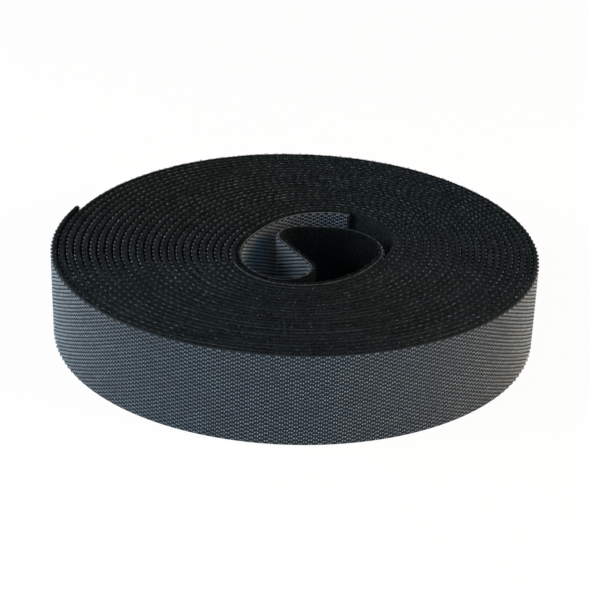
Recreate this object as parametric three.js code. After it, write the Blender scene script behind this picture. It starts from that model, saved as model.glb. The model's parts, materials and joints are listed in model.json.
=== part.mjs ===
// Roll of back to back hook and loop tape, wound on itself without a core.
// A hook web faces outwards, and a napped loop web, bonded to its back, faces the hollow.
// The outer end can be peeled off the roll, and the inner end stands loose in the hollow.
// Millimetres, +Z up: the roll lies on its tape edges at z = 0, centred on the origin.
import * as THREE from "three";

// Driving dimensions of the tape
const TAPE_WIDTH = 20;
const HOOK_WEB = 0.34;
const LOOP_WEB = 0.34;
const BOND_FILM = 0.08;
const LOOP_EDGE_INSET = 0.2;

// Driving dimensions of the winding, all on the bond film
const FULL_TURNS = 23;
const STEPS_PER_TURN = 22;
const OUTER_END_ANGLE = 163;
const INNER_LEAVE_ANGLE = 332;
const PILE_GAP = 0.73;
const HOLLOW_RADIUS = 17.4;
const HOLLOW_OVAL = 2.4;
const HOLLOW_OVAL_ANGLE = 60;
const HOLLOW_SHIFT_X = 3.7;
const HOLLOW_SHIFT_Y = -2.1;
const OUTER_OVAL = 0.31;
const OUTER_OVAL_ANGLE = 5;
const OUTER_LOBES = 3;
const OUTER_LOBE_HEIGHT = 0.22;
const OUTER_LOBE_ANGLE = 91;

// Driving dimensions of the curl that the tape makes inside the hollow
const BACK_SPACING = 8.1;
const NOSE_SPACING = 7.9;
const NOSE_RADIUS = 5;
const RETURN_RADIUS = 6.1;
const RETURN_JOIN_ANGLE = 241;
const LINING_GAP = 0.7;
const INNER_END_ANGLE = 65;
const CURL_STEP_ANGLE = 18;

// Driving dimensions of the two free ends
const OUTER_END_LENGTH = 45;
const INNER_END_LENGTH = 17;
const SPLIT_GAP = 0.3;

const radians = THREE.MathUtils.degToRad;
const TAPE_THICKNESS = HOOK_WEB + BOND_FILM + LOOP_WEB;
const TURN_PITCH = TAPE_THICKNESS + PILE_GAP;
const START_ANGLE = radians(OUTER_END_ANGLE);
const PART_TURN = THREE.MathUtils.euclideanModulo(INNER_LEAVE_ANGLE - OUTER_END_ANGLE, 360) / 360;
const TURNS = FULL_TURNS + PART_TURN;
const WOUND_ANGLE = 2 * Math.PI * TURNS;
const OUTER_RADIUS = HOLLOW_RADIUS + TURN_PITCH * TURNS;
const STEP_ANGLE = (2 * Math.PI) / STEPS_PER_TURN;
const BACK_HEADING = Math.PI;
const BACK_ANGLE = 90;
const NOSE_ANGLE = 180;

// A station is a point of the bond film with the tape's heading there.
// The hook side is on the right of the heading, the loop side on its left.
function station(point, heading) {
  return { point, heading };
}

function beside(place, distance) {
  const across = new THREE.Vector2(Math.sin(place.heading), -Math.cos(place.heading));
  return place.point.clone().addScaledVector(across, distance);
}

function along(place, distance) {
  const ahead = new THREE.Vector2(Math.cos(place.heading), Math.sin(place.heading));
  return station(place.point.clone().addScaledVector(ahead, distance), place.heading);
}

// The winding narrows evenly from a faintly oval and lobed outside to a shifted, oval hollow
function woundPoint(angle, inset) {
  const wound = (angle - START_ANGLE) / WOUND_ANGLE;
  const innerOval = HOLLOW_OVAL * Math.cos(2 * (angle - radians(HOLLOW_OVAL_ANGLE)));
  const outerOval = OUTER_OVAL * Math.cos(2 * (angle - radians(OUTER_OVAL_ANGLE)));
  const lobe = OUTER_LOBE_HEIGHT * Math.cos(OUTER_LOBES * (angle - radians(OUTER_LOBE_ANGLE)));
  const evenRadius = OUTER_RADIUS - wound * TURN_PITCH * TURNS - inset;
  const radius = evenRadius + wound * innerOval + (1 - wound) * (outerOval + lobe);
  return new THREE.Vector2(
    wound * HOLLOW_SHIFT_X + radius * Math.cos(angle),
    wound * HOLLOW_SHIFT_Y + radius * Math.sin(angle),
  );
}

function woundStation(angle, inset = 0, direction = 1) {
  const nudge = 1e-4 * direction;
  const travel = woundPoint(angle + nudge, inset).sub(woundPoint(angle - nudge, inset));
  return station(woundPoint(angle, inset), travel.angle());
}

// A bend to the left has a positive turn, one to the right a negative turn
function bendCentre(place, radius, turn) {
  return beside(place, -Math.sign(turn) * radius);
}

function bendStations(place, radius, turn) {
  const centre = bendCentre(place, radius, turn);
  const steps = Math.ceil(Math.abs(turn) / radians(CURL_STEP_ANGLE));
  const stations = [];
  for (let i = 1; i <= steps; i += 1) {
    const heading = place.heading + (turn * i) / steps;
    stations.push(station(beside(station(centre, heading), Math.sign(turn) * radius), heading));
  }
  return stations;
}

function last(list) {
  return list[list.length - 1];
}

// Outer end: it runs to its root, where the winding takes over
const OUTER_ROOT_ANGLE = START_ANGLE + OUTER_END_LENGTH / OUTER_RADIUS;
const outerRoot = woundStation(OUTER_ROOT_ANGLE);

function outerEndStations() {
  const stations = [along(outerRoot, -SPLIT_GAP / 2)];
  for (let angle = OUTER_ROOT_ANGLE - STEP_ANGLE; angle > START_ANGLE; angle -= STEP_ANGLE) {
    stations.unshift(woundStation(angle));
  }
  stations.unshift(woundStation(START_ANGLE));
  return stations;
}

// Lining of the hollow: the curl's last stretch lies along the innermost turn, loop side to loop side
const LINING_INSET = BOND_FILM + 2 * LOOP_WEB + LINING_GAP;
const LEAVE_ANGLE = START_ANGLE + WOUND_ANGLE;

function liningStation(degrees) {
  const turnsBack = THREE.MathUtils.euclideanModulo(INNER_LEAVE_ANGLE - degrees, 360) / 360;
  return woundStation(LEAVE_ANGLE - 2 * Math.PI * turnsBack, LINING_INSET, -1);
}

const INNER_ROOT_ANGLE = INNER_END_ANGLE + THREE.MathUtils.radToDeg(INNER_END_LENGTH / HOLLOW_RADIUS);
const innerRoot = liningStation(INNER_ROOT_ANGLE);

function liningStations(fromAngle, toAngle) {
  const steps = Math.ceil((fromAngle - toAngle) / CURL_STEP_ANGLE);
  const stations = [];
  for (let i = 1; i < steps; i += 1) {
    stations.push(liningStation(fromAngle + ((toAngle - fromAngle) * i) / steps));
  }
  return stations;
}

// The curl: off the right wall, back across the hollow, round the nose, over to the front and
// round again into the lining
function curlStations(leave) {
  const backLine = liningStation(BACK_ANGLE).point.y - BACK_SPACING;
  const leaveRadius = (backLine - leave.point.y) / (1 + Math.cos(leave.heading));
  const stations = bendStations(leave, leaveRadius, BACK_HEADING - leave.heading);
  const noseStart = liningStation(NOSE_ANGLE).point.x + NOSE_SPACING + NOSE_RADIUS;
  stations.push(along(last(stations), last(stations).point.x - noseStart));
  const nose = last(stations);
  const join = liningStation(RETURN_JOIN_ANGLE);
  const noseCentre = bendCentre(nose, NOSE_RADIUS, 1);
  const returnCentre = bendCentre(join, RETURN_RADIUS, -1);
  const span = returnCentre.clone().sub(noseCentre);
  const radii = NOSE_RADIUS + RETURN_RADIUS;
  const crossRun = Math.sqrt(span.lengthSq() - radii * radii);
  const crossHeading = span.angle() + Math.atan2(radii, crossRun);
  stations.push(...bendStations(nose, NOSE_RADIUS, crossHeading - nose.heading));
  stations.push(along(last(stations), crossRun));
  stations.push(...bendStations(last(stations), RETURN_RADIUS, join.heading - crossHeading));
  stations.push(...liningStations(RETURN_JOIN_ANGLE, INNER_ROOT_ANGLE));
  stations.push(along(innerRoot, -SPLIT_GAP / 2));
  return stations;
}

function windingStations() {
  const stations = [along(outerRoot, SPLIT_GAP / 2)];
  for (let angle = OUTER_ROOT_ANGLE + STEP_ANGLE; angle < LEAVE_ANGLE; angle += STEP_ANGLE) {
    stations.push(woundStation(angle));
  }
  const leave = woundStation(LEAVE_ANGLE);
  stations.push(leave, ...curlStations(leave));
  return stations;
}

function innerEndStations() {
  const stations = [along(innerRoot, SPLIT_GAP / 2)];
  stations.push(...liningStations(INNER_ROOT_ANGLE, INNER_END_ANGLE));
  stations.push(liningStation(INNER_END_ANGLE));
  return stations;
}

// A web is a flat strip on edge: four corners at each station, closed at both ends
function webGeometry(stations, right, left, edgeInset) {
  const bottom = edgeInset;
  const top = TAPE_WIDTH - edgeInset;
  const positions = [];
  const triangles = [];
  stations.forEach((place, index) => {
    const near = beside(place, right);
    const far = beside(place, left);
    positions.push(near.x, near.y, bottom, near.x, near.y, top);
    positions.push(far.x, far.y, top, far.x, far.y, bottom);
    if (index === 0) {
      return;
    }
    const now = 4 * index;
    const before = now - 4;
    for (let side = 0; side < 4; side += 1) {
      const next = (side + 1) % 4;
      triangles.push(before + side, now + side, now + next, before + side, now + next, before + next);
    }
  });
  const end = 4 * (stations.length - 1);
  triangles.push(0, 1, 2, 0, 2, 3, end, end + 2, end + 1, end, end + 3, end + 2);
  const geometry = new THREE.BufferGeometry();
  geometry.setAttribute("position", new THREE.Float32BufferAttribute(positions, 3));
  geometry.setIndex(triangles);
  geometry.computeVertexNormals();
  return geometry;
}

const HOOK_FINISH = { color: 0x3c464d, roughness: 0.6, metalness: 0 };
const LOOP_FINISH = { color: 0x141718, roughness: 0.95, metalness: 0 };

function hookWeb(name, stations) {
  const geometry = webGeometry(stations, BOND_FILM / 2 + HOOK_WEB, BOND_FILM / 2, 0);
  const mesh = new THREE.Mesh(geometry, new THREE.MeshStandardMaterial(HOOK_FINISH));
  mesh.name = name;
  return mesh;
}

function loopWeb(name, stations) {
  const geometry = webGeometry(stations, -BOND_FILM / 2, -BOND_FILM / 2 - LOOP_WEB, LOOP_EDGE_INSET);
  const mesh = new THREE.Mesh(geometry, new THREE.MeshStandardMaterial(LOOP_FINISH));
  mesh.name = name;
  return mesh;
}

// Least gap of the wound tape to itself, from points on both faces to the faces of other turns
function leastGap(stations) {
  const faces = [BOND_FILM / 2 + HOOK_WEB, -BOND_FILM / 2 - LOOP_WEB];
  const outlines = faces.map((offset) => stations.map((place) => beside(place, offset)));
  const travelled = [0];
  for (let i = 1; i < stations.length; i += 1) {
    travelled.push(travelled[i - 1] + stations[i].point.distanceTo(stations[i - 1].point));
  }
  const ownStretch = 8 * TAPE_THICKNESS;
  const nearest = new THREE.Vector3();
  let least = Infinity;
  for (const outline of outlines) {
    for (let i = 1; i < outline.length; i += 1) {
      const middle = outline[i].clone().add(outline[i - 1]).multiplyScalar(0.5);
      for (const [point, at] of [[outline[i], travelled[i]], [middle, (travelled[i] + travelled[i - 1]) / 2]]) {
        const probe = new THREE.Vector3(point.x, point.y, 0);
        for (const other of outlines) {
          for (let j = 1; j < other.length; j += 1) {
            if (travelled[j] > at - ownStretch && travelled[j - 1] < at + ownStretch) {
              continue;
            }
            const line = new THREE.Line3(
              new THREE.Vector3(other[j - 1].x, other[j - 1].y, 0),
              new THREE.Vector3(other[j].x, other[j].y, 0),
            );
            line.closestPointToPoint(probe, true, nearest);
            least = Math.min(least, nearest.distanceTo(probe));
          }
        }
      }
    }
  }
  return least;
}

const winding = windingStations();
const outerEnd = outerEndStations();
const innerEnd = innerEndStations();
const roll = new THREE.Group();
roll.add(
  hookWeb("hook_tape_winding", winding),
  loopWeb("loop_tape_winding", winding),
  hookWeb("hook_tape_outer_end", outerEnd),
  loopWeb("loop_tape_outer_end", outerEnd),
  hookWeb("hook_tape_inner_end", innerEnd),
  loopWeb("loop_tape_inner_end", innerEnd),
);

// The origin is the middle of the roll's footprint
const footprint = new THREE.Box3().setFromObject(roll).getCenter(new THREE.Vector3());
roll.position.set(-footprint.x, -footprint.y, 0);
roll.updateMatrixWorld(true);

const whole = [...outerEnd, ...winding, ...innerEnd];
console.log(`turns ${TURNS.toFixed(2)}, least gap of the winding to itself ${leastGap(whole).toFixed(3)} mm`);

export default roll;
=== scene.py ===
"""Dresses a roll of two-faced fastening tape, wound on itself without a core.

A dark film, moulded all over with small double hooks, faces outwards. A black looped nap, bonded
to the film's back, faces the hollow. The tape is one length: its outer end can be peeled off the
roll, and its inner end curls round in the hollow and stands loose against the lining.
"""

import cmath
import json
import logging
import math
from bisect import bisect_right
from dataclasses import dataclass, field
from enum import Enum, IntEnum
from typing import Iterable, Mapping, Optional, Sequence, Union

import bpy
from mathutils import Matrix, Vector


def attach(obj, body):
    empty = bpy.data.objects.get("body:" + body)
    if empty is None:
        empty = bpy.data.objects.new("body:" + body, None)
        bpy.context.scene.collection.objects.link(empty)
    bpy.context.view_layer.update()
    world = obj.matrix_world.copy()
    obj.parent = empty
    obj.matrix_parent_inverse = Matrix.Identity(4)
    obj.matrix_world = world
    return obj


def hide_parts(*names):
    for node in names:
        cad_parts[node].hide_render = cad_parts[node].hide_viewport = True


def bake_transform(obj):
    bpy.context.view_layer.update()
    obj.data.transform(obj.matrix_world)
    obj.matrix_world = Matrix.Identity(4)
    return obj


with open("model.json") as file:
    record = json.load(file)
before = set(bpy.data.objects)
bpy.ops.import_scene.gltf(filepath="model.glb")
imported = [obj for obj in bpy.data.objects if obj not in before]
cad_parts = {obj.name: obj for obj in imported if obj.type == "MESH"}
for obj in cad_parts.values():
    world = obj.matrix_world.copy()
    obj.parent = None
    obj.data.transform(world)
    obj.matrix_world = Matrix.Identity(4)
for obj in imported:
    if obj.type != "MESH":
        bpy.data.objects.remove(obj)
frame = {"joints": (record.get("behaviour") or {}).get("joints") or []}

LOG = logging.getLogger("tape_roll")
MM = 0.001
IMAGE_SIDE = 589

# Angles in the hollow, counted from its right side.
BACK_DEGREES = 90.0
LEFT_DEGREES = 180.0

# Smallest step round a section, in metres.
LEAST_FINENESS = 1e-4

# A piece's seed comes from where it begins, and for loops also from how dense they stand.
SEED_RANGE = 9973
SEEDS_PER_MM = 7
SEEDS_PER_DENSITY = 100

WHITE = (1.0, 1.0, 1.0, 1.0)
Point2 = tuple[float, float]
Colour = tuple[float, float, float]
Corner = tuple[float, float, float]
Socket = bpy.types.NodeSocket
Piece = bpy.types.Object
Feed = Union[Socket, float, int, bool, str, Sequence[float]]
Feeds = Mapping[Union[str, int], Feed]
WHOLE: Point2 = (0.0, 1.0)


class Body(Enum):
    """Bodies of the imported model."""

    ROLL = "roll"
    OUTER_END = "outer_end"
    INNER_END = "inner_end"


class Slot(Enum):
    """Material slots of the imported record."""

    HOOKS = "hook_weave"
    NAP = "loop_nap"


class Mark(Enum):
    """Places along the tape, from its outer tip to its inner cut end."""

    TIP = 0
    OUTER_ROOT = 1
    LEAVE = 2
    INNER_ROOT = 3
    CUT_END = 4


class Grade(Enum):
    """How finely a hook is shaped, by where it is seen from."""

    SHOWN = "shown"
    BURIED = "buried"


class Input(Enum):
    """Kinds of input that a shape tree takes."""

    FLOAT = "NodeSocketFloat"
    COUNT = "NodeSocketInt"
    STAMP = "NodeSocketObject"
    FINISH = "NodeSocketMaterial"


class Draw(IntEnum):
    """What is added to a piece's seed for each kind of random value."""

    SHIFT = 0
    LEAN = 1
    TURN = 3
    TONE = 5
    TILT = 7
    SIZE = 11


def after(first: float, final: float, step: float) -> list[float]:
    """Returns the ends of even steps, of that size at most, from the first value to the final one."""
    steps = max(1, math.ceil(abs(final - first) / step))
    return [first + (final - first) * i / steps for i in range(1, steps + 1)]


@dataclass(frozen=True)
class Station:
    """A spot of the bond line, x and y as one complex number, with heading and length travelled.

    The hooks are on the right of the heading, the nap on its left.
    """

    spot: complex
    heading: float
    travelled: float = 0.0

    def beside(self, distance: float) -> complex:
        """Returns the spot that far to the right."""
        return self.spot - 1j * cmath.rect(distance, self.heading)

    def ahead(self, distance: float) -> "Station":
        """Returns the station that far straight on."""
        return Station(self.spot + cmath.rect(distance, self.heading), self.heading)


@dataclass
class TapeRoute:
    """Line of the bond between film and nap, seen from above, in millimetres.

    The tape winds inwards from a faintly oval and lobed outside to a shifted, oval hollow. There
    it leaves the wall, crosses back, turns round a nose, comes to the front and turns again into
    a lining.
    """

    anchor: Vector
    hook_face: float = 0.38
    full_turns: int = 23
    turn_pitch: float = 1.49
    outer_end_angle: float = 163.0
    leave_angle: float = 332.0
    hollow_radius: float = 17.4
    hollow_oval: float = 2.4
    hollow_oval_angle: float = 60.0
    hollow_shift: complex = 3.7 - 2.1j
    outer_oval: float = 0.31
    outer_oval_angle: float = 5.0
    outer_lobes: int = 3
    outer_lobe_height: float = 0.22
    outer_lobe_angle: float = 91.0
    back_spacing: float = 8.1
    nose_spacing: float = 7.9
    nose_radius: float = 5.0
    return_radius: float = 6.1
    return_join_angle: float = 241.0
    lining_inset: float = 1.46
    inner_end_angle: float = 65.0
    outer_end_length: float = 45.0
    inner_end_length: float = 17.0
    wound_step: float = 1.2
    bend_step: float = 3.0
    straight_step: float = 1.0
    nudge: float = 1e-4
    places: list[Station] = field(init=False, default_factory=list)
    marks: dict[Mark, float] = field(init=False, default_factory=dict)
    origin: Vector = field(init=False)

    def __post_init__(self) -> None:
        """Lays the whole line, marks its places and finds the roll's centre in the frame."""
        self.turns = self.full_turns + ((self.leave_angle - self.outer_end_angle) % 360) / 360
        self.start = math.radians(self.outer_end_angle)
        self.wound_angle = math.tau * self.turns
        self.outer_radius = self.hollow_radius + self.turn_pitch * self.turns
        root = self.start + self.outer_end_length / self.outer_radius
        inner_root = self.inner_end_angle + math.degrees(self.inner_end_length / self.hollow_radius)
        step = math.radians(self.wound_step)
        self._append(Mark.TIP, [self._wound(self.start)])
        self._append(Mark.OUTER_ROOT, map(self._wound, after(self.start, root, step)))
        self._append(Mark.LEAVE, map(self._wound, after(root, self.start + self.wound_angle, step)))
        lining = map(self._lining, after(self.return_join_angle, inner_root, self.wound_step))
        self._append(Mark.INNER_ROOT, [*self._curl(self.places[-1]), *lining])
        free = after(inner_root, self.inner_end_angle, self.wound_step)
        self._append(Mark.CUT_END, map(self._lining, free))
        self.lengths = [place.travelled for place in self.places]
        hinge = self._wound(root).beside(self.hook_face)
        self.origin = Vector((self.anchor.x - hinge.real * MM, self.anchor.y - hinge.imag * MM, 0.0))

    def _wound_spot(self, angle: float, inset: float) -> complex:
        """Finds the winding's spot at a total angle.

        Args:
            angle: total angle in radians, from the outer tip's own angle on.
            inset: how far the line is drawn in towards the hollow.

        Returns:
            The spot, seen from the roll's centre.
        """
        wound = (angle - self.start) / self.wound_angle
        inner_oval = math.cos(2 * (angle - math.radians(self.hollow_oval_angle)))
        outer_oval = math.cos(2 * (angle - math.radians(self.outer_oval_angle)))
        lobe = math.cos(self.outer_lobes * (angle - math.radians(self.outer_lobe_angle)))
        swell = self.outer_oval * outer_oval + self.outer_lobe_height * lobe
        radius = (
            self.outer_radius
            - wound * self.turn_pitch * self.turns
            + wound * self.hollow_oval * inner_oval
            + (1 - wound) * swell
            - inset
        )
        return wound * self.hollow_shift + cmath.rect(radius, angle)

    def _wound(self, angle: float, inset: float = 0.0, direction: int = 1) -> Station:
        """Returns the winding's station at that total angle.

        Args:
            angle: total angle in radians, from the outer tip's own angle on.
            inset: how far the line is drawn in towards the hollow.
            direction: 1 along the winding, -1 against it.

        Returns:
            The station, with no length travelled yet.
        """
        nudge = self.nudge * direction
        way = self._wound_spot(angle + nudge, inset) - self._wound_spot(angle - nudge, inset)
        return Station(self._wound_spot(angle, inset), cmath.phase(way))

    def _lining(self, degrees: float) -> Station:
        """Returns the lining's station at that angle, heading back along the last turn."""
        back = math.tau * ((self.leave_angle - degrees) % 360) / 360
        return self._wound(self.start + self.wound_angle - back, self.lining_inset, -1)

    def _bend(self, place: Station, radius: float, turn: float) -> list[Station]:
        """Returns the stations of a round bend.

        Args:
            place: where the bend begins.
            radius: radius of the bond line.
            turn: change of heading in radians, positive to the left.

        Returns:
            The stations after that place, up to the bend's end.
        """
        side = math.copysign(radius, turn)
        centre = place.beside(-side)
        headings = [place.heading + part for part in after(0.0, turn, math.radians(self.bend_step))]
        return [Station(Station(centre, heading).beside(side), heading) for heading in headings]

    def _straight(self, place: Station, length: float) -> list[Station]:
        """Returns the stations of a straight run after that place."""
        return [place.ahead(part) for part in after(0.0, length, self.straight_step)]

    def _curl(self, leave: Station) -> list[Station]:
        """Lays the curl, from the wall to the start of the lining.

        Args:
            leave: where the tape leaves the wall.

        Returns:
            The stations after that place, up to the lining's start.
        """
        heading = leave.heading % math.tau
        back_line = self._lining(BACK_DEGREES).spot.imag - self.back_spacing
        radius = (back_line - leave.spot.imag) / (1 + math.cos(heading))
        laid = self._bend(Station(leave.spot, heading), radius, (math.pi - heading) % math.tau)
        nose_start = self._lining(LEFT_DEGREES).spot.real + self.nose_spacing + self.nose_radius
        laid += self._straight(laid[-1], laid[-1].spot.real - nose_start)
        nose, join = laid[-1], self._lining(self.return_join_angle)
        span = join.beside(self.return_radius) - nose.beside(-self.nose_radius)
        radii = self.nose_radius + self.return_radius
        run = math.sqrt(span.real**2 + span.imag**2 - radii**2)
        across = cmath.phase(span) + math.atan2(radii, run)
        laid += self._bend(nose, self.nose_radius, (across - nose.heading) % math.tau)
        laid += self._straight(laid[-1], run)
        back = (laid[-1].heading - join.heading) % math.tau
        return laid + self._bend(laid[-1], self.return_radius, -back)

    def _append(self, mark: Mark, run: Iterable[Station]) -> None:
        """Adds a run of stations with their travelled lengths, and marks its end.

        Args:
            mark: what the end is marked as.
            run: the stations, in order.
        """
        for place in run:
            travelled, heading = 0.0, place.heading
            if self.places:
                last = self.places[-1]
                way = place.spot - last.spot
                travelled = last.travelled + math.hypot(way.real, way.imag)
                turn = (heading - last.heading + math.pi) % math.tau - math.pi
                heading = last.heading + turn
            self.places.append(Station(place.spot, heading, travelled))
        self.marks[mark] = self.places[-1].travelled

    def point(self, travelled: float, offset: float = 0.0, height: float = 0.0) -> Vector:
        """Returns a point of the frame, in metres.

        Args:
            travelled: length from the outer tip.
            offset: distance to the hook side of the bond line.
            height: height over the lower tape edge.

        Returns:
            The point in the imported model's frame.
        """
        upper = min(max(bisect_right(self.lengths, travelled), 1), len(self.places) - 1)
        a, b = self.places[upper - 1], self.places[upper]
        share = (travelled - a.travelled) / (b.travelled - a.travelled)
        heading = a.heading + share * (b.heading - a.heading)
        spot = Station(a.spot + share * (b.spot - a.spot), heading).beside(offset)
        return self.origin + Vector((spot.real, spot.imag, height)) * MM

    def line(self, span: Point2, step: float, offset: float = 0.0) -> list[Vector]:
        """Returns the points of an even line beside the bond, at the lower tape edge.

        Args:
            span: lengths from the outer tip where the line begins and ends.
            step: greatest distance between two points.
            offset: distance to the hook side of the bond line.

        Returns:
            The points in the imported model's frame, in metres.
        """
        return [self.point(place, offset) for place in (span[0], *after(*span, step))]


def usable(sockets: Iterable[Socket], label: str = "") -> Socket:
    """Returns the first socket in use, or the first one in use of that name."""
    return next(s for s in sockets if not s.is_unavailable and label in ("", s.name))


class NodeMaker:
    """Adds nodes to one tree."""

    def __init__(self, tree: bpy.types.NodeTree) -> None:
        """Takes the tree that is to be filled."""
        self.tree = tree

    def feed(self, socket: Socket, value: Feed) -> None:
        """Links a node's output to an input, or sets the input's own value.

        Args:
            socket: the input.
            value: the output, or the value.
        """
        if isinstance(value, Socket):
            self.tree.links.new(value, socket)
        else:
            socket.default_value = value

    def add(self, kind: str, feeds: Optional[Feeds] = None, **settings: object) -> bpy.types.Node:
        """Adds one node.

        Args:
            kind: Blender's name of the node type.
            feeds: what goes into each input, by its name or place.
            settings: the node's own settings.

        Returns:
            The new node.
        """
        node = self.tree.nodes.new(kind)
        for label, value in settings.items():
            setattr(node, label, value)
        for key, value in (feeds or {}).items():
            self.feed(node.inputs[key] if isinstance(key, int) else usable(node.inputs, key), value)
        return node

    def get(self, kind: str, feeds: Optional[Feeds] = None, **settings: object) -> Socket:
        """Adds one node and returns its first output in use."""
        return usable(self.add(kind, feeds, **settings).outputs)

    def reckon(self, operation: str, first: Feed, second: Feed = 0.0) -> Socket:
        """Returns the result of one arithmetic step."""
        return self.get("ShaderNodeMath", {0: first, 1: second}, operation=operation)

    def times(self, first: Feed, second: Feed) -> Socket:
        """Returns the product of two values."""
        return self.reckon("MULTIPLY", first, second)


class ShapeTree(NodeMaker):
    """A tree of shape nodes with named inputs, which turns a guide line into a plain mesh."""

    def __init__(self, name: str, floats: Sequence[str], others: Mapping[str, Input]) -> None:
        """Makes the empty tree.

        Args:
            name: the tree's name.
            floats: names of the sizes that it takes.
            others: name and kind of each other input.
        """
        super().__init__(bpy.data.node_groups.new(name, "GeometryNodeTree"))
        sides = self.tree.interface
        sides.new_socket("Guide", in_out="INPUT", socket_type="NodeSocketGeometry")
        for label, kind in (dict.fromkeys(floats, Input.FLOAT) | dict(others)).items():
            sides.new_socket(label, in_out="INPUT", socket_type=kind.value)
        sides.new_socket("Shape", in_out="OUTPUT", socket_type="NodeSocketGeometry")
        self.given = self.add("NodeGroupInput").outputs

    def minus(self, value: Feed) -> Socket:
        """Returns a value with its sign turned round."""
        return self.times(value, -1.0)

    def vector(self, **parts: Feed) -> Socket:
        """Returns a vector of the given X, Y and Z."""
        return self.get("ShaderNodeCombineXYZ", parts)

    def random(self, low: Feed, high: Feed, draw: int) -> Socket:
        """Returns an even random value for each point."""
        feeds = {"Min": low, "Max": high, "Seed": self.reckon("ADD", self.given["Seed"], float(draw))}
        return self.get("FunctionNodeRandomValue", feeds, data_type="FLOAT")

    def swing(self, reach: Feed, draw: int) -> Socket:
        """Returns a random value that reaches as far down as up."""
        return self.random(self.minus(reach), reach, draw)

    def swings(self, reach: Feed, draw: int) -> Socket:
        """Returns a vector of three such values."""
        return self.vector(**{axis: self.swing(reach, draw + i) for i, axis in enumerate("XYZ")})

    def store(self, shape: Socket, name: str, value: Feed, kind: str = "FLOAT") -> Socket:
        """Returns the shape with a named value on its points."""
        feeds = {"Geometry": shape, "Name": name, "Value": value}
        return self.get("GeometryNodeStoreNamedAttribute", feeds, data_type=kind, domain="POINT")

    def moved(self, shape: Socket, offset: Socket) -> Socket:
        """Returns the shape with its points moved."""
        return self.get("GeometryNodeSetPosition", {"Geometry": shape, "Offset": offset})

    def curve(self) -> Socket:
        """Turns the guide into a curve.

        Returns:
            The curve, its normals flat and towards the hook side, with the length along it.
        """
        line = self.get("GeometryNodeMeshToCurve", {"Mesh": self.given["Guide"]})
        flat = self.get("GeometryNodeSetCurveNormal", {"Curve": line}, mode="Z_UP")
        travel = self.add("GeometryNodeSplineParameter").outputs
        return self.store(flat, "along", usable(travel, "Length"))

    def stamped(self, points: Socket, facing: Socket, tilt: Socket, lightest: Feed) -> Socket:
        """Sets stamps on points.

        Args:
            points: where they stand.
            facing: rotation of each point.
            tilt: angles that each stamp is turned by from there.
            lightest: tone of the lightest stamp.

        Returns:
            The stamps, of random tones and sizes.
        """
        toned = self.store(points, "tone", self.random(0.0, lightest, Draw.TONE))
        turn = self.get("FunctionNodeEulerToRotation", {"Euler": tilt})
        feeds = {"Rotation": facing, "Rotate By": turn}
        turned = self.get("FunctionNodeRotateRotation", feeds, rotation_space="LOCAL")
        stamp = self.add("GeometryNodeObjectInfo", {"Object": self.given["Stamp"]})
        feeds = {
            "Points": toned,
            "Instance": usable(stamp.outputs, "Geometry"),
            "Rotation": turned,
            "Scale": self.random(self.given["Least"], self.given["Most"], Draw.SIZE),
        }
        return self.get("GeometryNodeInstanceOnPoints", feeds)

    def close(self, shape: Socket, heads: bool = False) -> None:
        """Ends the tree with a real mesh and its finish.

        Args:
            shape: what the tree has made.
            heads: whether its heads have a finish of their own.
        """
        real = self.get("GeometryNodeRealizeInstances", {"Geometry": shape})
        feeds = {"Geometry": real, "Material": self.given["Finish"]}
        done = self.get("GeometryNodeSetMaterial", feeds)
        if heads:
            head = self.get("GeometryNodeInputNamedAttribute", {"Name": "head"}, data_type="BOOLEAN")
            feeds = {"Geometry": done, "Selection": head, "Material": self.given["Head Finish"]}
            done = self.get("GeometryNodeSetMaterial", feeds)
        self.add("NodeGroupOutput", {"Shape": done})

    def shape(self, name: str, guide: Sequence[Vector], values: Mapping[str, object]) -> Piece:
        """Runs the tree along a guide line.

        Args:
            name: name of the new piece.
            guide: points of the line, in metres.
            values: what each named input is set to.

        Returns:
            The new piece, as a plain mesh in its place.
        """
        mesh = bpy.data.meshes.new(name + "_guide")
        mesh.from_pydata(guide, [(i, i + 1) for i in range(len(guide) - 1)], [])
        piece = bpy.data.objects.new(name, mesh)
        bpy.context.scene.collection.objects.link(piece)
        modifier = piece.modifiers.new("shape", "NODES")
        modifier.node_group = self.tree
        for item in self.tree.interface.items_tree:
            if item.in_out == "INPUT" and item.name in values:
                modifier[item.identifier] = values[item.name]
        depsgraph = bpy.context.evaluated_depsgraph_get()
        made = bpy.data.meshes.new_from_object(
            piece.evaluated_get(depsgraph), preserve_all_data_layers=True, depsgraph=depsgraph
        )
        piece.modifiers.remove(modifier)
        piece.data = made
        made.name = name
        bpy.data.meshes.remove(mesh)
        return piece


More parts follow.
